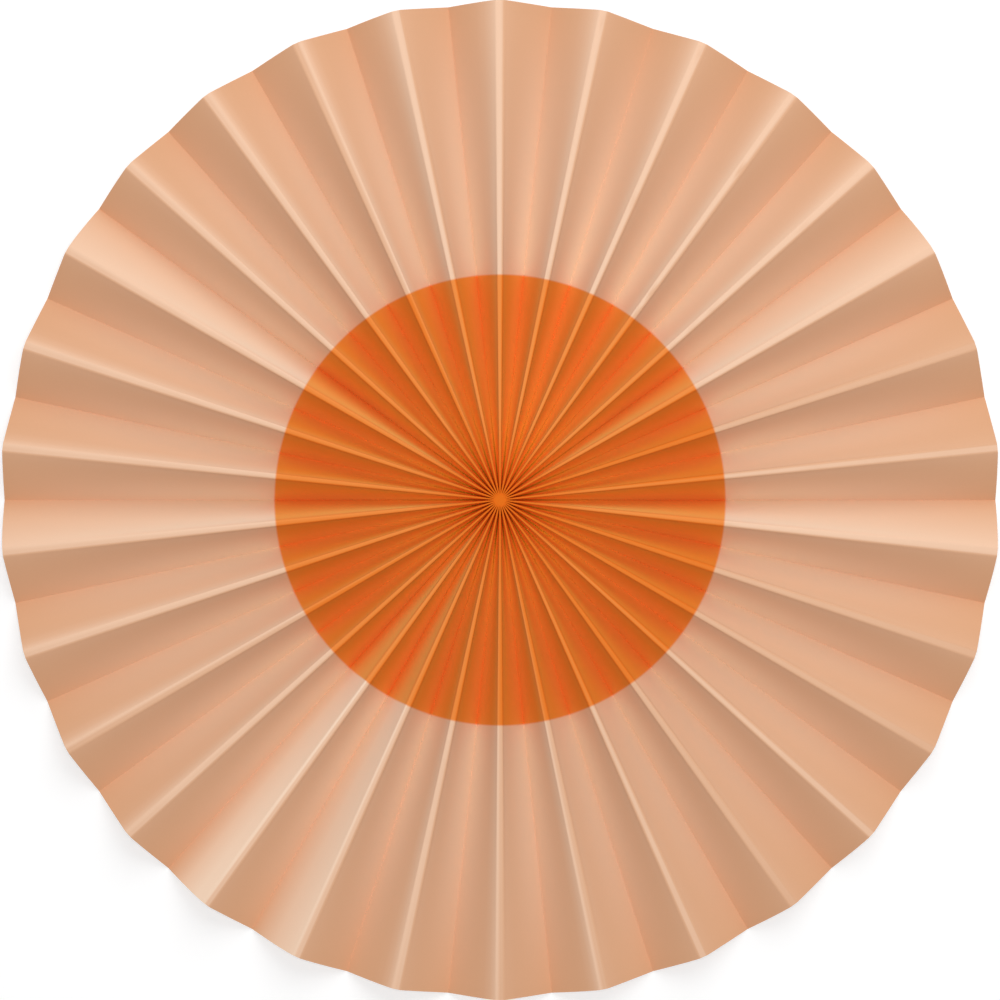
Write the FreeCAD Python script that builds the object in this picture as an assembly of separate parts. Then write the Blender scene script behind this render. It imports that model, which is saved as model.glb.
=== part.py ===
import FreeCAD, Part
import math
import os

# A paper fan rosette: one strip of light card, creased across its width into an accordion
# and gathered to a point along one long edge, so that its pleats open out into a disc.
# It lies on its back. The origin is at the middle of the back, +Z points out of the front
# and one ridge points along +Y.
doc = FreeCAD.newDocument("paper_fan_rosette")


# Driving dimensions, in millimetres (pleat_count is a number of ridges)
SIZES = {
    "rosette_radius": 150.0,
    "pleat_count": 30,
    "rim_depth": 9.0,
    "card_thickness": 0.2,
    "ridge_fold_width": 2.4,
    "valley_fold_width": 0.4,
    "flap_start_radius": 30.0,
    "flap_margin": 2.0,
}
sheet = doc.addObject("Spreadsheet::Sheet", "sizes")
for row, (alias, value) in enumerate(SIZES.items(), start=1):
    sheet.set(f"A{row}", alias)
    sheet.set(f"B{row}", str(value))
    sheet.setAlias(f"B{row}", alias)
doc.recompute()

rosette_radius = float(sheet.rosette_radius)
pleat_count = int(sheet.pleat_count)
rim_depth = float(sheet.rim_depth)
card = float(sheet.card_thickness)
ridge_fold_width = float(sheet.ridge_fold_width)
valley_fold_width = float(sheet.valley_fold_width)
flap_start_radius = float(sheet.flap_start_radius)
flap_margin = float(sheet.flap_margin)

# A twisted panel is drawn as this many flat bands, each turned as much as the next
BANDS = 12

# A panel runs from a ridge fold to the next valley fold. The half-step is half the angle
# between them, and a half-pitch is half the distance between them at some radius.
panel_count = 2 * pleat_count
half_step = math.pi / panel_count
rim_half_pitch = rosette_radius * math.sin(half_step)

# At the centre the panels stand upright and pressed together, each one card thick
centre_half_pitch = card / 2

# The flattened inside of a fold widens evenly, from nothing at the centre to its full width
# at the rim. A ridge is pressed flat and a valley is left nearly sharp.
ridge_growth = ridge_fold_width / 2 / (rim_half_pitch - centre_half_pitch)
valley_growth = valley_fold_width / 2 / (rim_half_pitch - centre_half_pitch)
folds_growth = ridge_growth + valley_growth


def mitre(slope):
    # The outside of a fold is wider than its inside by this much on each side
    return card * math.tan(slope / 2)


half_folds = (ridge_fold_width + valley_fold_width) / 2


def find_rim_slope():
    # The slope of a panel at the rim, where its rise is the rim depth
    slope = 0.0
    for _ in range(40):
        run = 2 * rim_half_pitch - half_folds - mitre(slope)
        slope = math.atan2(rim_depth, run)
    return slope


rim_slope = find_rim_slope()
panel_width = half_folds + mitre(rim_slope) + rim_depth / math.sin(rim_slope)


def half_pitch_at(slope):
    # Paper doesn't stretch, so the panel has the same width wherever it is cut, and its
    # slope says how far apart its two folds lie
    flat = 1 - math.cos(slope)
    folds_at_centre = folds_growth * centre_half_pitch
    taken = (mitre(slope) - folds_at_centre) * flat + panel_width * math.cos(slope)
    return taken / (2 - folds_growth * flat)


def slope_at(radius):
    # The slope of a panel at a radius, by halving between upright and the rim's slope
    steep, gentle = math.pi / 2, rim_slope
    for _ in range(60):
        middle = (steep + gentle) / 2
        if half_pitch_at(middle) < radius * math.sin(half_step):
            steep = middle
        else:
            gentle = middle
    return middle


# Stations from the pressed centre to the rim: the slope there, and the thickness of the
# glued end flap, which starts between two stations at the same radius
turn = (math.pi / 2 - rim_slope) / BANDS
flap_slope = slope_at(flap_start_radius)
slopes = [math.pi / 2 - turn * band for band in range(BANDS + 1)]
stations = [(slope, 0.0) for slope in slopes if slope > flap_slope]
stations += [(flap_slope, 0.0), (flap_slope, card)]
stations += [(slope, card) for slope in slopes if slope < flap_slope]


def point(panel, half_pitch, across, height):
    # A point of a panel's cross-section, which is square to the panel's middle line
    middle = math.pi / 2 + half_step * (2 * panel + 1)
    along = half_pitch / math.tan(half_step)
    x = along * math.cos(middle) - across * math.sin(middle)
    y = along * math.sin(middle) + across * math.cos(middle)
    return FreeCAD.Vector(x, y, height)


def section(panel, slope, flap):
    # The front and the back of one panel at one station, each from one fold to the next.
    # Even panels start at a ridge and odd ones at a valley.
    half_pitch = half_pitch_at(slope)
    ridge = ridge_growth * (half_pitch - centre_half_pitch)
    valley = valley_growth * (half_pitch - centre_half_pitch)
    rise = (panel_width - ridge - valley - mitre(slope)) * math.sin(slope)
    front = [(ridge + mitre(slope) - half_pitch, rise + card), (half_pitch - valley, card)]
    back = [(ridge - half_pitch, rise), (half_pitch - valley - mitre(slope), 0.0)]
    if panel == 0 and slope > flap_slope:
        back = back[:1] * 5 + back[1:]
    elif panel == 0:
        # The strip's end flap is glued behind its first panel, short of both folds
        across, down = math.cos(slope), -math.sin(slope)
        start = (back[0][0] + flap_margin * across, back[0][1] + flap_margin * down)
        end = (back[1][0] - flap_margin * across, back[1][1] - flap_margin * down)
        raised = [(y + flap * down, z - flap * across) for y, z in (start, end)]
        back = [back[0], start, raised[0], raised[1], end, back[1]]
    if panel % 2:
        front = [(-y, z) for y, z in reversed(front)]
        back = [(-y, z) for y, z in reversed(back)]
    front = [point(panel, half_pitch, y, z) for y, z in front]
    back = [point(panel, half_pitch, y, z) for y, z in back]
    return front, back


def face(corners):
    # One flat face, or none where its corners fall together
    loop = []
    for corner in corners:
        if all(corner.distanceToPoint(other) > 1e-7 for other in loop):
            loop.append(corner)
    if len(loop) < 3:
        return []
    return [Part.Face(Part.makePolygon(loop + loop[:1]))]


def band_faces(near, far):
    # The faces between the same line of points at two stations. A level strip is one
    # face, and a twisted one is two, split from its high inner corner to its low outer one.
    faces = []
    for index in range(len(near)):
        after = (index + 1) % len(near)
        a, b, c, d = near[index], near[after], far[after], far[index]
        if abs(a.z - b.z) < 1e-7 and abs(c.z - d.z) < 1e-7:
            faces += face([a, b, c, d])
        elif a.z > b.z:
            faces += face([a, b, c])
            faces += face([a, c, d])
        else:
            faces += face([a, b, d])
            faces += face([b, c, d])
    return faces


# The whole front and the whole back at every station
fronts = []
backs = []
for slope, flap in stations:
    sections = [section(panel, slope, flap) for panel in range(panel_count)]
    fronts.append([corner for front, back in sections for corner in front])
    backs.append([corner for front, back in sections for corner in back])

faces = []
for near, far in zip(fronts, fronts[1:]):
    faces += band_faces(near, far)
for near, far in zip(backs, backs[1:]):
    faces += band_faces(near, far)

# The cut edge of the card at the rim: one face for each panel and one for each fold
rim_sections = [section(panel, rim_slope, card) for panel in range(panel_count)]
for panel, (front, back) in enumerate(rim_sections):
    next_front, next_back = rim_sections[(panel + 1) % panel_count]
    faces += face(front + back[::-1])
    faces += face([front[-1], next_front[0], next_back[0], back[-1]])

# The glued centre, where the pressed panels close into a small pin
top = max(corner.z for corner in fronts[0])
faces += face([corner for corner in fronts[0] if abs(corner.z - top) < 1e-7])
faces += face([corner for corner in backs[0] if abs(corner.z) < 1e-7])

pleated_sheet = doc.addObject("Part::Feature", "pleated_sheet")
pleated_sheet.Label = "pleated_sheet"
shell = Part.makeShell(faces)
shell.sewShape()
solid = Part.makeSolid(shell)
if solid.Volume < 0:
    solid.reverse()
pleated_sheet.Shape = solid
pleated_sheet.Placement = FreeCAD.Placement(FreeCAD.Vector(0, 0, 0), FreeCAD.Rotation())
doc.recompute()

for item in doc.Objects:
    if "Invalid" in item.State or "Error" in item.State:
        raise RuntimeError(f"{item.Name} failed: {item.State}")

# The cut sheet's own size says whether the folded card has the right volume
strip_volume = panel_count * panel_width * (rosette_radius - centre_half_pitch / math.sin(half_step)) * card
for part in [pleated_sheet]:
    shape = part.Shape
    if shape.isNull() or not shape.isValid() or len(shape.Solids) != 1:
        raise RuntimeError(f"{part.Label} is not one valid solid")
    box = shape.BoundBox
    print(part.Label, "faces", len(shape.Faces), "volume", round(shape.Volume), "strip", round(strip_volume))
    print("box", [round(v, 3) for v in (box.XMin, box.YMin, box.ZMin, box.XMax, box.YMax, box.ZMax)])
print("panel width", round(panel_width, 3), "rim slope", round(math.degrees(rim_slope), 2))

os.makedirs("parts", exist_ok=True)
for part in [pleated_sheet]:
    part.Shape.exportStep(f"parts/{part.Label}.step")
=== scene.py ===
# %% [markdown]
# # A paper fan rosette
#
# The real thing is one strip of light card. It is creased across its width into sixty equal
# panels, gathered to a point along one long edge, and its two ends are lapped and glued, so
# that the pleats open out into a disc. The card is peach, with an orange circle printed in
# the middle of the front. This script dresses the measured model of the fan: it folds a finer
# sheet in the same place, gives it a paper finish, and lights it for a picture from above.

# %% Load the measured model
import math
import random

import bmesh
import bpy
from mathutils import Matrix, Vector, noise


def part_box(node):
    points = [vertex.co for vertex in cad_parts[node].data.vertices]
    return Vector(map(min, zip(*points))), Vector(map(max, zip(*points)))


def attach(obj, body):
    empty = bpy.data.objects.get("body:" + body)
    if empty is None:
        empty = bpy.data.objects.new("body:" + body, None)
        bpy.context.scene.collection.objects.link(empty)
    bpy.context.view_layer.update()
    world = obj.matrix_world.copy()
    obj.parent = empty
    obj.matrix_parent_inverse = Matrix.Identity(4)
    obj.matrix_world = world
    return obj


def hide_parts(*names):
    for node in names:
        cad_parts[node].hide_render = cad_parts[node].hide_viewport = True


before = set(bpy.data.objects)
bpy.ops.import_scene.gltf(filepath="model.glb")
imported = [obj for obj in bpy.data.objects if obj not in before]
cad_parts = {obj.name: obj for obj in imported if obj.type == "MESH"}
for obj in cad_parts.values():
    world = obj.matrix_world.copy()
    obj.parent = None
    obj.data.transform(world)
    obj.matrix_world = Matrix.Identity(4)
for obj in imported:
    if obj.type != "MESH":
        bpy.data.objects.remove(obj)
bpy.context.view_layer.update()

low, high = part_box("pleated_sheet")
print("measured model, in mm:", [round(1000 * size, 2) for size in high - low])

# %% [markdown]
# ## Sizes
#
# The measured model gives the two sizes that matter most. Its half width is the radius of the
# fan. Its height at the centre is the width of one panel, because there the panels stand
# upright. What is left to choose is the card and the folds.

# %% Sizes, in metres
fan_radius = (high.x - low.x) / 2
panel_width = high.z

PLEATS = 30
CARD = 0.0002
RIDGE_FOLD = 0.0025
FOLD_TAPER = 0.8

half_step = math.pi / (2 * PLEATS)
hub_radius = CARD / 2 / math.sin(half_step)
length = fan_radius - hub_radius
print("panels:", 2 * PLEATS, "panel width, in mm:", round(1000 * panel_width, 2))
print("radius of the pressed centre, in mm:", round(1000 * hub_radius, 2))

# %% [markdown]
# ## Small helpers for modelling
#
# Most of the modelling is done in edit mode, as by hand. An operator acts on everything that
# is selected, so each step first selects exactly what it needs, by place or by number.


# %% Helpers for edit mode
def only(piece, mode="OBJECT"):
    """Makes this piece the only one selected, in object mode or in edit mode."""
    if bpy.context.mode != "OBJECT":
        bpy.ops.object.mode_set(mode="OBJECT")
    bpy.ops.object.select_all(action="DESELECT")
    piece.select_set(True)
    bpy.context.view_layer.objects.active = piece
    bpy.ops.object.mode_set(mode=mode)


def pick(piece, kind, wanted):
    """Selects just those vertices, edges or faces of the open mesh for which wanted holds."""
    bpy.ops.mesh.select_mode(type={"verts": "VERT", "edges": "EDGE", "faces": "FACE"}[kind])
    bpy.ops.mesh.select_all(action="DESELECT")
    mesh = bmesh.from_edit_mesh(piece.data)
    chosen = [part for part in getattr(mesh, kind) if wanted(part)]
    for part in chosen:
        part.select_set(True)
    bmesh.update_edit_mesh(piece.data)
    return len(chosen)


def finish_with(piece, kind, **settings):
    """Adds a modifier with these settings and applies it."""
    only(piece)
    modifier = piece.modifiers.new(kind.title(), kind)
    for name, value in settings.items():
        setattr(modifier, name, value)
    bpy.ops.object.modifier_apply(modifier=modifier.name)


# %% [markdown]
# ## One panel
#
# Paper doesn't stretch. So a panel keeps its width wherever the fan is cut, and only its slope
# changes: upright at the pressed centre, and leaning far out at the rim, where there is room.
# A grid of the panel's true size is laid flat, and then each row is turned about the fold at
# its lower end, exactly as the paper turns. Rows of vertices turned one by one give the gentle
# twist of a real panel, which a straight extrusion can't.

# %% The slope of a panel at any radius
def crest_half(radius):
    """Half the width of the flattened top of a ridge fold, which tapers to the centre."""
    share = max(0.0, radius - hub_radius) / length
    return CARD + (RIDGE_FOLD / 2 - CARD) * share**FOLD_TAPER


def slope_of(radius):
    """The angle between a panel and the table at this radius."""
    run = 2 * radius * math.sin(half_step) - crest_half(radius)
    return math.acos(min(1.0, max(0.0, run / (panel_width - crest_half(radius)))))


for radius in (hub_radius, 0.25 * fan_radius, 0.5 * fan_radius, fan_radius):
    slope = round(math.degrees(slope_of(radius)), 1)
    print("at", round(1000 * radius, 1), "mm the slope is", slope)

# %% Lay out the flat panel
ROWS = 36
COLUMNS = 9

bpy.ops.object.select_all(action="DESELECT")
bpy.ops.mesh.primitive_grid_add(x_subdivisions=COLUMNS, y_subdivisions=ROWS, size=1)
folded_card = bpy.context.object
folded_card.name = "folded_card"
only(folded_card, "EDIT")
bpy.ops.mesh.select_all(action="SELECT")
bpy.ops.transform.translate(value=(0.5, 0.5, 0))
bpy.ops.transform.resize(value=(panel_width, length, 1), center_override=(0, 0, 0))
bpy.ops.transform.translate(value=(0, hub_radius, CARD))
row_size = COLUMNS + 1
print("flat panel, in mm:", round(1000 * panel_width, 1), "by", round(1000 * length, 1))


# %% Set the columns closer together beside the folds
def share_across(column):
    """How far across the panel a column lies, from 0 at the valley to 1 at the ridge."""
    return (1 - math.cos(math.pi * column / COLUMNS)) / 2


for column in range(1, COLUMNS):
    pick(folded_card, "verts", lambda vert: vert.index % row_size == column)
    shift = (share_across(column) - column / COLUMNS) * panel_width
    bpy.ops.transform.translate(value=(shift, 0, 0))
print("columns:", COLUMNS, "the first, in mm:", round(1000 * share_across(1) * panel_width, 2))

# %% Turn each row about its valley fold, and set it at its radius
for row in range(ROWS + 1):
    radius = hub_radius + length * row / ROWS
    pick(folded_card, "verts", lambda vert: vert.index // row_size == row)
    valley = (0, radius, CARD)
    shorter = 1 - crest_half(radius) / panel_width
    bpy.ops.transform.resize(value=(shorter, 1, 1), center_override=valley)
    bpy.ops.transform.rotate(value=slope_of(radius), orient_axis="Y", center_override=valley)
    half_pitch = radius * math.sin(half_step)
    inward = radius * (math.cos(half_step) - 1)
    bpy.ops.transform.translate(value=(-half_pitch, inward, 0))
print("rows turned:", ROWS + 1)

# %% [markdown]
# ## One pleat
#
# The top of each ridge fold is pressed flat, and shows as a bright line that tapers to the
# centre. To make it, the panel is first turned so that its ridge lies over the Y axis. Its
# upper edge is then extruded and scaled to nothing across that axis, so that it reaches it
# everywhere. A mirror makes the other panel of the pleat.

# %% Flatten the ridge and mirror the pleat
only(folded_card, "EDIT")
bpy.ops.mesh.select_all(action="SELECT")
bpy.ops.transform.rotate(value=-half_step, orient_axis="Z", center_override=(0, 0, 0))
pick(folded_card, "edges", lambda edge: all(v.index % row_size == COLUMNS for v in edge.verts))
bpy.ops.mesh.extrude_region_move(TRANSFORM_OT_translate={"value": (0, 0, 0)})
bpy.ops.transform.resize(value=(0, 1, 1), center_override=(0, 0, 0))

finish_with(folded_card, "MIRROR", merge_threshold=1e-6)
span = [math.degrees(math.atan2(v.co.x, v.co.y)) for v in folded_card.data.vertices]
print("one pleat spans", round(min(span), 3), "to", round(max(span), 3), "degrees")

# %% [markdown]
# ## The ring of pleats
#
# What repeats is modelled once. Spin, with its option to copy, sets the pleat round the centre
# thirty times, and merging the doubles joins the copies into one sheet. At the centre the
# grooves close by themselves, because there neighbouring panels touch over their whole height.

# %% Copy the pleat round the centre
DOUBLES = CARD / 20

only(folded_card, "EDIT")
bpy.ops.mesh.select_all(action="SELECT")
copies = PLEATS - 1
around = 2 * math.pi * copies / PLEATS
bpy.ops.mesh.spin(steps=copies, dupli=True, angle=around, center=(0, 0, 0), axis=(0, 0, 1))
bpy.ops.mesh.select_all(action="SELECT")
bpy.ops.mesh.remove_doubles(threshold=DOUBLES)
bpy.ops.mesh.normals_make_consistent(inside=False)
hub_top = panel_width - CARD / 2
hub_reach = 1.05 * hub_radius
pick(folded_card, "verts", lambda v: v.co.xy.length < hub_reach and v.co.z > hub_top)
bpy.ops.mesh.edge_face_add()
only(folded_card)
print("sheet:", len(folded_card.data.vertices), "vertices", len(folded_card.data.polygons), "faces")


# %% [markdown]
# ## Folds that aren't knife edges
#
# A pressed ridge in real card has a small radius on each side. A bevel gives it. Its width is a
# share of the faces beside the fold, so that it tapers with them towards the centre. The valley
# folds are left sharp, nearly as in the measured model.

# %% Find a place on the fan
PLEAT_ANGLE = 4 * half_step


def place_on_fan(point):
    """The pleat's number, the side, the radius and the share across the panel of a point."""
    turn = math.atan2(point.x, point.y) / PLEAT_ANGLE
    pleat = round(turn)
    radius = point.xy.length
    off_ridge = radius * math.sin(abs(turn - pleat) * PLEAT_ANGLE)
    run = 2 * radius * math.sin(half_step) - crest_half(radius)
    side = 1 if turn > pleat else -1
    share = 1 - (off_ridge - crest_half(radius)) / max(run, 1e-9)
    return pleat % PLEATS, side, radius, min(1.0, max(0.0, share))


# %% Round the ridge folds
SHARP = math.radians(18)
ABOVE_TABLE = 4 * CARD
ROUNDED_SHARE = 30


def is_fold(edge):
    """Holds for an edge that runs outwards between two faces that meet at an angle."""
    inner, outer = sorted(vert.co.xy.length for vert in edge.verts)
    return outer - inner > CARD and len(edge.link_faces) == 2 and edge.calc_face_angle() > SHARP


def is_ridge(edge):
    """Holds for a fold that stands above the table."""
    return is_fold(edge) and min(vert.co.z for vert in edge.verts) > ABOVE_TABLE


only(folded_card, "EDIT")
folds = pick(folded_card, "edges", is_ridge)
bpy.ops.mesh.bevel(offset_type="PERCENT", offset_pct=ROUNDED_SHARE, segments=2, affect="EDGES")
print("edges rounded:", folds)
only(folded_card)

# %% [markdown]
# ## Worn ink and painted highlights along the ridges
#
# The ink wears off first along the ridges, and painted highlights lie there as well. Each vertex
# is given two numbers, which the finish reads further down. The first says how strong a painted
# highlight beside the ridge is, paler like worn ink. It is set by an amount at the ridge and a
# power: the higher the power, the sooner it dies away. The second says how strong the pale line
# on the ridge itself is, worn ink and painted highlight, which is faint on some ridges.
#
# Pleats are numbered clockwise from the upper one. A side is 1 where the panel lies clockwise
# of its ridge, and -1 where it lies on the other side.

# %% Note the painted highlights and the worn ink
# Painted highlights beside the ridges, paler like worn ink: a broad one on one side of the gleaming
# ridges, a narrow one on the anticlockwise side of the crisp ridges, one along the clockwise,
# lamplit side of the edge ridges, and a little on all others.
GLEAMING_RIDGES = {5: -1, 8: -1, 17: 1, 18: 1, 22: 1, 25: 1}
CRISP_RIDGES = (0, 1, 2, 3, 4, 29)
EDGE_RIDGES = range(14, 29)
FAINT_RIDGES = (3, 6, 9, 10, 12, 14, 15, 20, 28)
HIGHLIGHT_LITTLE = (0.2, 4)
HIGHLIGHT_ALONG = (1.0, 4)
LAMPLIT_EDGE_HIGHLIGHT = (0.9, 8)
BROAD_HIGHLIGHT = (1.0, 1.1)
STRONGER_HIGHLIGHT = {17: (1.75, 1.0), 18: (2.6, 1.3), 25: (1.0, 0.7)}
FAINT_LINE = 0.35


def highlight_beside(pleat, side):
    """How strong the painted highlight beside a ridge is, and the power by which it dies away."""
    if GLEAMING_RIDGES.get(pleat) == side:
        return STRONGER_HIGHLIGHT.get(pleat, BROAD_HIGHLIGHT)
    if side < 0 and pleat in CRISP_RIDGES:
        return HIGHLIGHT_ALONG
    if side > 0 and pleat in EDGE_RIDGES:
        return LAMPLIT_EDGE_HIGHLIGHT
    return HIGHLIGHT_LITTLE


# The painted highlight beside the ridge is kept on each vertex.
ridge_highlight = folded_card.data.attributes.new("ridge_highlight", "FLOAT", "POINT")
lines = folded_card.data.attributes.new("line", "FLOAT", "POINT")
for vert, wear_and_highlight, line in zip(folded_card.data.vertices, ridge_highlight.data, lines.data):
    pleat, side, radius, share = place_on_fan(vert.co)
    amount, ending = highlight_beside(pleat, side)
    wear_and_highlight.value = amount * share**ending
    line.value = FAINT_LINE if pleat in FAINT_RIDGES else 1.0
print("ridges with soft wear:", len(GLEAMING_RIDGES), "with a faint line:", len(FAINT_RIDGES))

# %% [markdown]
# ## Panels that aren't quite flat
#
# Card that has been creased stays a little bowed between its folds, and no two panels bow
# alike. Those that face the lamp are bowed least, and those beside the gleaming ridges most,
# so that a broad gleam lies along the fold there, where a painted highlight lies too. Each
# vertex is moved along its normal by a low hump that is nothing at the folds, so that the folds
# stay where they are.

# %% Bow the panels
LITTLE_BOW = 0.00035
LEAST_SHARE, MOST_SHARE = 0.5, 1.3
LAMPLIT_SHARE = 0.4
SOFT_BOW = 0.0007
LAMP_TURN = math.radians(20)
WAVE = 0.00008
WAVES_TO_THE_METRE = 30
CHANGE_TO_THE_PLEAT = 2.7
FLAT_AT_CENTRE = 3

dice = random.Random(30)
bows = {}
for pleat in range(PLEATS):
    for side in (-1, 1):
        facing = pleat * PLEAT_ANGLE + side * math.pi / 2
        lamplit = math.cos(facing - LAMP_TURN) > 0
        bow = LITTLE_BOW * dice.uniform(LEAST_SHARE, MOST_SHARE)
        bows[pleat, side] = bow * (LAMPLIT_SHARE if lamplit else 1)
        if GLEAMING_RIDGES.get(pleat) == side:
            bows[pleat, side] = SOFT_BOW


def bow_at(point):
    """How far the panel stands out from flat at this point."""
    pleat, side, radius, share = place_on_fan(point)
    fading = min(1.0, FLAT_AT_CENTRE * (radius - hub_radius) / length)
    hump = 4 * share * (1 - share) * fading
    where = Vector((WAVES_TO_THE_METRE * radius, CHANGE_TO_THE_PLEAT * pleat, side))
    return hump * (bows[pleat, side] + WAVE * noise.noise(where))


moves = [vert.normal * bow_at(vert.co) for vert in folded_card.data.vertices]
for vert, move in zip(folded_card.data.vertices, moves):
    vert.co += move
print("largest bow, in mm:", round(1000 * max(move.length for move in moves), 2))

# %% [markdown]
# ## Thickness, and the back
#
# So far the sheet is only the printed front. Solidify gives it the thickness of light card,
# towards the back, and puts the new back and the cut edges into material slots of their own.

# %% Give the card its thickness
BACK, CUT_EDGE = 1, 2

for name in ("printed_front", "plain_back", "cut_edge"):
    folded_card.data.materials.append(bpy.data.materials.new(name))
finish_with(
    folded_card,
    "SOLIDIFY",
    thickness=CARD,
    offset=-1,
    material_offset=BACK,
    material_offset_rim=CUT_EDGE,
)
lowest = min(vert.co.z for vert in folded_card.data.vertices)
print("lowest point, in mm:", round(1000 * lowest, 3))

# %% [markdown]
# ## The glued ends of the strip
#
# The strip's two ends overlap by one panel behind the fan, where they are glued. The end that
# lies outermost stops a little short of the folds, and starts where there is room for it. It
# is made as by hand: the back of the first panel is copied by an extrusion, one card thick.

# %% Lap the end of the strip behind the first panel
FLAP_PLEAT, FLAP_SIDE = 0, -1
FLAP_START = 0.030
FLAP_SHARES = (0.1, 0.9)


def under_flap(face):
    """Holds for the faces of the back that the lapped end covers."""
    pleat, side, radius, share = place_on_fan(face.calc_center_median())
    here = (pleat, side) == (FLAP_PLEAT, FLAP_SIDE) and radius > FLAP_START
    return face.material_index == BACK and here and FLAP_SHARES[0] < share < FLAP_SHARES[1]


only(folded_card, "EDIT")
covered = pick(folded_card, "faces", under_flap)
bpy.ops.mesh.extrude_region_shrink_fatten(TRANSFORM_OT_shrink_fatten={"value": CARD})
only(folded_card)
print("faces under the flap:", covered)

# %% [markdown]
# ## The pressed centre
#
# At the back of the centre the inner edges of the sixty panels are pressed together and glued.
# They show as a small disc with fine radial creases. A fan of triangles is creased by lifting
# every second point of its rim, and extruded up inside the folds.

# %% Press the centre together
only(folded_card)
bpy.ops.object.select_all(action="DESELECT")
ends = 2 * PLEATS
bpy.ops.mesh.primitive_circle_add(vertices=ends, radius=hub_radius, fill_type="TRIFAN")
pressed_centre = bpy.context.object
pressed_centre.name = "pressed_centre"
for vert in pressed_centre.data.vertices:
    if vert.co.xy.length > hub_radius / 2:
        angle = math.atan2(vert.co.x, vert.co.y) / (2 * half_step)
        vert.co.z = CARD / 2 if round(angle) % 2 else 0.0
only(pressed_centre, "EDIT")
bpy.ops.mesh.select_all(action="SELECT")
rise = (0, 0, panel_width - 2 * CARD)
bpy.ops.mesh.extrude_region_move(TRANSFORM_OT_translate={"value": rise})
bpy.ops.mesh.select_all(action="SELECT")
bpy.ops.mesh.normals_make_consistent(inside=False)
only(pressed_centre)
pressed_centre.data.materials.append(bpy.data.materials["plain_back"])
print("pressed centre:", len(pressed_centre.data.polygons), "faces")

# %% [markdown]
# ## Shader maths as plain Python
#
# The finish is built from nodes, but node by node it would be hard to read. So a socket is
# wrapped in a small class, and an ordinary expression on it adds the Math nodes.


# %% Helpers for materials
class Value:
    """A socket of a material. Arithmetic with it adds Math nodes."""

    def __init__(self, finish, socket):
        self.finish = finish
        self.socket = socket

    def maths(self, operation, first, second):
        return self.finish.node("ShaderNodeMath", {"operation": operation}, [first, second])

    def __add__(self, other):
        return self.maths("ADD", self, other)

    def __sub__(self, other):
        return self.maths("SUBTRACT", self, other)

    def __rsub__(self, other):
        return self.maths("SUBTRACT", other, self)

    def __mul__(self, other):
        return self.maths("MULTIPLY", self, other)

    def __truediv__(self, other):
        return self.maths("DIVIDE", self, other)

    def __pow__(self, other):
        return self.maths("POWER", self, other)

    __radd__ = __add__
    __rmul__ = __mul__


class Finish:
    """A material under construction."""

    def __init__(self, name):
        self.material = bpy.data.materials.get(name) or bpy.data.materials.new(name)
        self.material.use_nodes = True
        self.tree = self.material.node_tree
        self.surface = self.tree.nodes["Principled BSDF"]

    def connect(self, socket, value):
        """Gives a socket a number, a colour or a link."""
        if isinstance(value, Value):
            self.tree.links.new(value.socket, socket)
        else:
            socket.default_value = value

    def node(self, kind, settings=None, inputs=None, output=0):
        """Adds a node of any type: its settings first, then its sockets by number or by name."""
        node = self.tree.nodes.new(kind)
        for name, value in (settings or {}).items():
            setattr(node, name, value)
        named = inputs if isinstance(inputs, dict) else dict(enumerate(inputs or []))
        for name, value in named.items():
            self.connect(node.inputs[name], value)
        return Value(self, node.outputs[output])

    def look(self, **sockets):
        """Sets sockets of the surface, such as Base_Color for Base Color."""
        for name, value in sockets.items():
            self.connect(self.surface.inputs[name.replace("_", " ")], value)

    def blend(self, share, first, second):
        """A colour between two colours."""
        settings = {"data_type": "RGBA"}
        return self.node("ShaderNodeMix", settings, {0: share, 6: first, 7: second}, output=2)

    def step(self, value, start, end):
        """Rises smoothly from 0 to 1 between two values."""
        settings = {"interpolation_type": "SMOOTHSTEP"}
        return self.node("ShaderNodeMapRange", settings, {0: value, 1: start, 2: end})

    def speckle(self, place, scale, detail=2.0):
        """Soft noise from 0 to 1, with this many lumps to the metre."""
        inputs = {"Vector": place, "Scale": scale, "Detail": detail}
        return self.node("ShaderNodeTexNoise", None, inputs)


# %% [markdown]
# ## The printed card
#
# The card is peach. The orange middle is printed on it, and its edge is a true circle when the
# fan is seen from the front. To look so from there, the edge lies a little nearer the centre
# on the ridges than in the valleys, because the ridges are nearer the eye.
#
# Each colour is written three times: as it is on the open card, and lighter for the upper part
# and for the bottom of a groove. These lighter copies are painted light that fills the grooves.
# Light reaches a groove only by way of its own walls, and takes on their colour each time, so one
# ink all over would look darker and redder there than the even print of the real fan. Along and
# beside the ridges the ink has a paler colour of its own, for worn ink and painted highlights.

# %% Colours, as light that the surface gives back
PEACH = (0.755, 0.408, 0.232, 1.0)
# Painted light: lighter copies of the peach for the upper part and the bottom of a groove.
PEACH_GROOVE_LIGHT = (0.950, 0.630, 0.430, 1.0)
PEACH_DEEP_GROOVE_LIGHT = (0.960, 0.950, 0.800, 1.0)
ORANGE = (0.820, 0.168, 0.010, 1.0)
# Painted light: lighter copies of the orange for the upper part and the bottom of a groove.
ORANGE_GROOVE_LIGHT = (0.985, 0.520, 0.085, 1.0)
ORANGE_DEEP_GROOVE_LIGHT = (0.985, 0.930, 0.260, 1.0)
# Paler colours for worn ink and painted highlights along and beside the ridges; their groove copies
# are lighter still, as painted light in the grooves.
PALE_PEACH = (0.920, 0.605, 0.420, 1.0)
PALE_GROOVE_PEACH = (0.985, 0.850, 0.680, 1.0)
PALE_ORANGE = (0.900, 0.275, 0.060, 1.0)
PALE_GROOVE_ORANGE = (0.990, 0.760, 0.210, 1.0)
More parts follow.
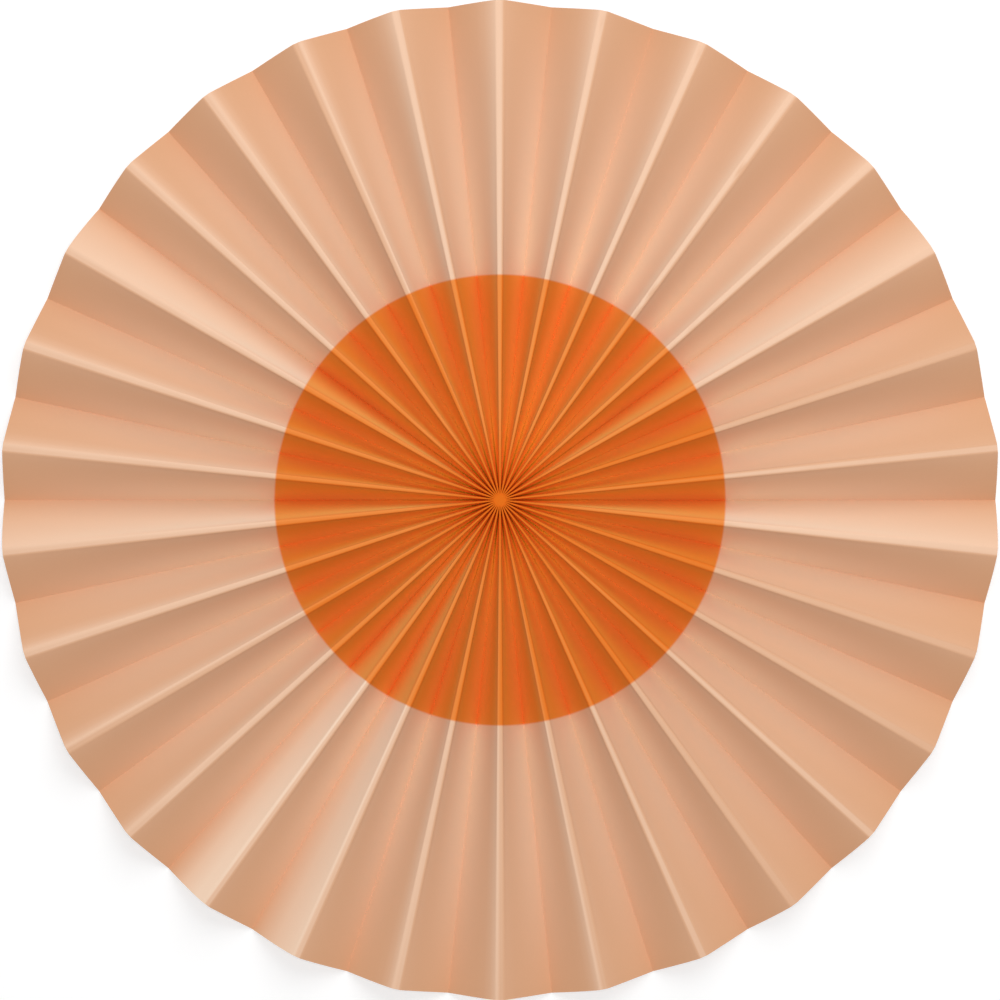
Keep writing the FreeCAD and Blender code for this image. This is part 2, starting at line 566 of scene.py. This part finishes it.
# Painted highlight: the brightest gleam beside some ridges goes to the colour of bare card.
BARE_CARD_HIGHLIGHT = (0.990, 0.725, 0.540, 1.0)
PLAIN_BACK = (0.800, 0.500, 0.330, 1.0)
CUT_PAPER = (0.860, 0.600, 0.430, 1.0)


# %% Helpers for the card's finish
def card_place(finish):
    """The object's own coordinates, and the distances that the print is laid out by."""
    place = finish.node("ShaderNodeTexCoord", output="Object")
    x = finish.node("ShaderNodeSeparateXYZ", None, [place], output=0)
    y = finish.node("ShaderNodeSeparateXYZ", None, [place], output=1)
    z = finish.node("ShaderNodeSeparateXYZ", None, [place], output=2)
    radius = (x * x + y * y) ** 0.5
    turn = finish.node("ShaderNodeMath", {"operation": "ARCTAN2"}, [x, y])
    off = finish.node("ShaderNodeMath", {"operation": "PINGPONG"}, [turn, PLEAT_ANGLE / 2])
    off_ridge = radius * finish.node("ShaderNodeMath", {"operation": "SINE"}, [off])
    return place, z, radius, off_ridge


FIBRES, FIBRE_DETAIL, FIBRE_HEIGHT = 2600.0, 4.0, 0.00004
CLOUDS = 18.0


def fibrous(finish, place, paint, shades, strength):
    """Mottles a colour with fine fibres and broad clouds, and gives the fibres a relief."""
    darkest, by_fibres, by_clouds = shades
    fibres = finish.speckle(place, FIBRES, detail=FIBRE_DETAIL)
    tone = darkest + by_fibres * fibres + by_clouds * finish.speckle(place, CLOUDS)
    scaled = {0: paint, "Scale": tone}
    colour = finish.node("ShaderNodeVectorMath", {"operation": "SCALE"}, scaled)
    relief = {"Strength": strength, "Distance": FIBRE_HEIGHT, "Height": fibres}
    return colour, finish.node("ShaderNodeBump", None, relief), fibres


# %% The printed front
front = Finish("printed_front")
place, z, radius, off_ridge = card_place(front)
openness = radius / fan_radius
print("finish begun:", front.material.name)

# %% How deep a point lies in its groove
GROOVE_STARTS = 0.0, 0.12
DEPTH_GROWS = 0.1, 0.9
HALF_CLOSED = 0.038

rim_opening = math.cos(slope_of(fan_radius))
ridge_height = panel_width * (1 - (openness * rim_opening) ** 2.0) ** 0.5
below_ridge = 1 - z / ridge_height
# Painted light: these shares say how much of the lighter groove colours fills the shade in a
# groove.
in_groove = front.step(below_ridge, *GROOVE_STARTS)
depth = front.step(below_ridge, *DEPTH_GROWS)
closed_up = (1 + (radius / HALF_CLOSED) ** 2.0) ** -1.0
orange_groove_light_share = in_groove * closed_up
peach_groove_light_share = in_groove * (1 - openness)
print("a groove is half closed at, in mm:", 1000 * HALF_CLOSED)

# %% The two inks, fresh and worn
PRINT_RADIUS = 0.0683
PRINT_SOFTNESS = 0.0004
EYE_HEIGHT = 0.901

seen_radius = radius * EYE_HEIGHT / (EYE_HEIGHT - z)
peach_share = front.step(seen_radius, PRINT_RADIUS - PRINT_SOFTNESS, PRINT_RADIUS + PRINT_SOFTNESS)
# Painted light: the lighter groove colours take the place of the inks down in the grooves.
groove_light_orange = front.blend(depth, ORANGE_GROOVE_LIGHT, ORANGE_DEEP_GROOVE_LIGHT)
groove_light_peach = front.blend(depth, PEACH_GROOVE_LIGHT, PEACH_DEEP_GROOVE_LIGHT)
orange = front.blend(orange_groove_light_share, ORANGE, groove_light_orange)
peach = front.blend(peach_groove_light_share, PEACH, groove_light_peach)
highlight_and_worn_orange = front.blend(orange_groove_light_share, PALE_ORANGE, PALE_GROOVE_ORANGE)
highlight_and_worn_peach = front.blend(peach_groove_light_share, PALE_PEACH, PALE_GROOVE_PEACH)
ink = front.blend(peach_share, orange, peach)
highlight_and_worn_ink = front.blend(peach_share, highlight_and_worn_orange, highlight_and_worn_peach)
print("radius of the print, in mm:", 1000 * PRINT_RADIUS)

# %% [markdown]
# ## Worn ink and painted highlights on the print
#
# Along the ridges the ink is worn thin and shows as a paler line, which is partly a painted
# highlight; it is wider at the rim and a little uneven. Beside the ridges a painted highlight,
# paler like worn ink, follows the numbers noted above, and where those pass 1 the peach goes on
# to the colour of bare card. The very centre gets neither. Uncoated card is matt, so the finish
# ends with fine fibres and next to no gloss.

# %% The worn places and the painted highlights
LINE_START = 0.0003
LINE_GROWTH = 0.0006
LINE_SOFTNESS = 0.0003
UNTOUCHED_CENTRE = 0.002, 0.030
PATCHES = 60.0
LINE_LEAST, LINE_UNEVENNESS = 0.45, 0.5

line_width = LINE_START + LINE_GROWTH * openness * openness
# The pale line on each ridge: worn ink and a painted highlight.
on_crest = 1 - front.step(off_ridge - line_width, -LINE_SOFTNESS, LINE_SOFTNESS)
clear_of_centre = front.step(radius, *UNTOUCHED_CENTRE)
wear_and_highlight = LINE_LEAST + LINE_UNEVENNESS * front.speckle(place, PATCHES)
# Painted highlight beside the ridges, read from the mesh.
highlight_beside_ridge = front.node("ShaderNodeAttribute", {"attribute_name": "ridge_highlight"}, output="Fac")
line = front.node("ShaderNodeAttribute", {"attribute_name": "line"}, output="Fac")
plain_ink_share = (1 - on_crest * line * wear_and_highlight) * (1 - highlight_beside_ridge)
colour = front.blend((1 - plain_ink_share) * clear_of_centre, ink, highlight_and_worn_ink)
# Painted highlight: past 1 the peach goes on towards the colour of bare card.
colour = front.blend((highlight_beside_ridge - 1) * peach_share, colour, BARE_CARD_HIGHLIGHT)
print("width of a ridge line at the rim, in mm:", 2000 * (LINE_START + LINE_GROWTH))

# %% Matt card with fine fibres
FRONT_SHADES, FRONT_RELIEF = (0.965, 0.04, 0.03), 0.12
BACK_SHADES, BACK_RELIEF = (0.95, 0.06, 0.04), 0.2
FRONT_ROUGHNESS, ROUGHER_FIBRES = 0.62, 0.12
BACK_ROUGHNESS = 0.75
FRONT_GLOSS = 0.04

colour, grain, fibres = fibrous(front, place, colour, FRONT_SHADES, FRONT_RELIEF)
rough = FRONT_ROUGHNESS + ROUGHER_FIBRES * fibres
front.look(Base_Color=colour, Roughness=rough, Normal=grain, Specular_IOR_Level=FRONT_GLOSS)

for name, paint in (("plain_back", PLAIN_BACK), ("cut_edge", CUT_PAPER)):
    finish = Finish(name)
    place = finish.node("ShaderNodeTexCoord", output="Object")
    colour, grain, fibres = fibrous(finish, place, paint[:3], BACK_SHADES, BACK_RELIEF)
    finish.look(Base_Color=colour, Roughness=BACK_ROUGHNESS, Normal=grain)

for finish in bpy.data.materials:
    print("finish:", finish.name, "nodes:", len(finish.node_tree.nodes) if finish.use_nodes else 0)

# %% [markdown]
# ## Finish the piece
#
# The pressed centre is joined to the folded card, because on the real fan they are the same
# sheet. Faces are shaded smoothly except across true corners.

# %% Join, smooth and hand over
TRUE_CORNER = math.radians(40)

bpy.ops.object.select_all(action="DESELECT")
pressed_centre.select_set(True)
folded_card.select_set(True)
bpy.context.view_layer.objects.active = folded_card
bpy.ops.object.join()
bpy.ops.object.shade_smooth_by_angle(angle=TRUE_CORNER)
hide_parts("pleated_sheet")
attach(folded_card, "root")
print("finished piece:", folded_card.name, "faces:", len(folded_card.data.polygons))

# %% [markdown]
# ## Table, light and camera
#
# The fan lies on a plain pale table. The camera hangs straight above it, so far away that the
# ridges, which stand up from the table, spread just a little more than the valleys. A soft
# lamp beyond the upper edge, somewhat to the right, gives every pleat a light and a shaded
# side. A lamp overhead and an even surround fill the shadows. To the eye the table glows a
# little, so that it is white behind the fan. It throws no more light on the fan by that.

# %% The table
TABLE_SIZE = 6
TABLE_WHITE = (0.90, 0.90, 0.90, 1.0)
TABLE_ROUGHNESS = 0.9
WHITE = (1.0, 1.0, 1.0, 1.0)
TABLE_GLOW = 0.2

bpy.ops.object.select_all(action="DESELECT")
bpy.ops.mesh.primitive_plane_add(size=TABLE_SIZE)
table = bpy.context.object
table.name = "table"

white = Finish("white_table")
white.look(Base_Color=TABLE_WHITE, Roughness=TABLE_ROUGHNESS)
seen = white.node("ShaderNodeLightPath", output="Is Camera Ray")
plain = Value(white, white.surface.outputs[0])
glow = white.node("ShaderNodeEmission", None, {"Color": WHITE, "Strength": TABLE_GLOW})
bright = white.node("ShaderNodeAddShader", None, [plain, glow])
mixed = white.node("ShaderNodeMixShader", None, [seen, plain, bright])
white.connect(white.tree.nodes["Material Output"].inputs["Surface"], mixed)
table.data.materials.append(white.material)
print("table, in metres:", TABLE_SIZE)


# %% The lamps
KEY_PLACE, KEY_SIZE, KEY_POWER = (0.35, 1.1, 1.0), 1.4, 9.8
OVERHEAD_PLACE, OVERHEAD_SIZE, OVERHEAD_POWER = (0, 0, 2.0), 0.6, 22.4
SURROUND_LIGHT = 0.18


def soft_lamp(name, place, size, power):
    """A square lamp that faces the middle of the fan."""
    bpy.ops.object.light_add(type="AREA", location=place)
    lamp = bpy.context.object
    lamp.name = name
    lamp.data.size = size
    lamp.data.energy = power
    lamp.rotation_euler = (-Vector(place)).to_track_quat("-Z", "Y").to_euler()
    print("lamp:", name, "power:", power)


soft_lamp("key_lamp", KEY_PLACE, KEY_SIZE, KEY_POWER)
soft_lamp("overhead_lamp", OVERHEAD_PLACE, OVERHEAD_SIZE, OVERHEAD_POWER)

surround = bpy.data.worlds.new("even_surround")
bpy.context.scene.world = surround
surround.use_nodes = True
background = surround.node_tree.nodes["Background"]
background.inputs["Color"].default_value = WHITE
background.inputs["Strength"].default_value = SURROUND_LIGHT

# %% [markdown]
# ## Framing
#
# The lens is worked out so that the tips of the ridges come where the picture has them, at so
# many picture elements from its middle. Light may bounce many times, because in the narrow
# grooves at the centre it meets paper again and again before it comes out.

# %% The camera
PHOTO_SIZE = 1000
RIDGE_TIP = 500.4
RIM_HEIGHT = 0.0092
SENSOR = 36.0
DEEP_BOUNCES = 40

rim_distance = EYE_HEIGHT - RIM_HEIGHT
half_frame = fan_radius * (PHOTO_SIZE / 2) / RIDGE_TIP
bpy.ops.object.camera_add(location=(0, 0, EYE_HEIGHT), rotation=(0, 0, 0))
camera = bpy.context.object
camera.data.sensor_width = SENSOR
camera.data.lens = SENSOR / 2 * rim_distance / half_frame
scene = bpy.context.scene
scene.camera = camera
scene.view_settings.view_transform = "Standard"
scene.cycles.max_bounces = DEEP_BOUNCES
scene.cycles.diffuse_bounces = DEEP_BOUNCES
print("lens, in mm:", round(camera.data.lens, 1))
